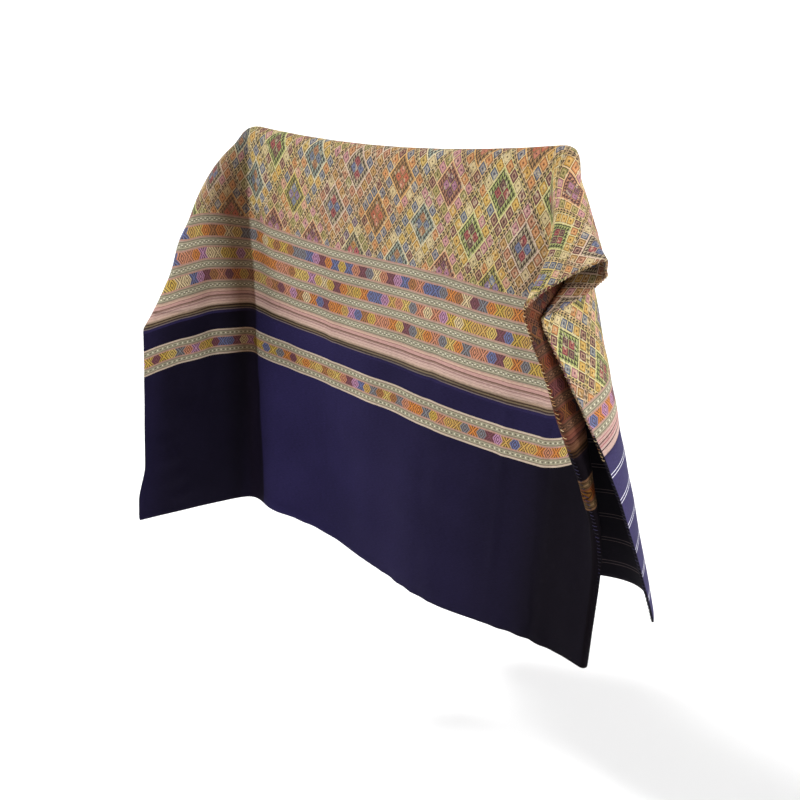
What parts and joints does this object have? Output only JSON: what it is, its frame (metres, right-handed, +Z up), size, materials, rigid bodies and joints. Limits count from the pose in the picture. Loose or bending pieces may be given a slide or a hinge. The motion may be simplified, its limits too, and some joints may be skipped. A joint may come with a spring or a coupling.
{
  "type": "tube skirt draped over a rail",
  "caption": "Woven tube skirt hung flat over a thin round rail, with a patterned ground, striped bands, a plain foot and folds falling past each end.",
  "frame": {"origin": "middle of the line between the centres of the rail's two ends, where the rail is held", "axes": "+X along the rail towards the open seam edge, +Z up, the longer half hangs at -Y"},
  "size_m": [0.6339, 0.2988, 0.5263],
  "materials": {
    "navy_foot_cloth": "matt handwoven cotton and silk",
    "brocade_cloth": "supplementary weft in many colours",
    "navy_waist_cloth": "matt, with thin white stripes",
    "rail_wood": "plain, smooth"
  },
  "bodies": {
    "root": {"brocade_piece": "brocade_cloth", "foot_piece": "navy_foot_cloth", "waist_piece": "navy_waist_cloth", "rail": "rail_wood"}
  },
  "joints": []
}
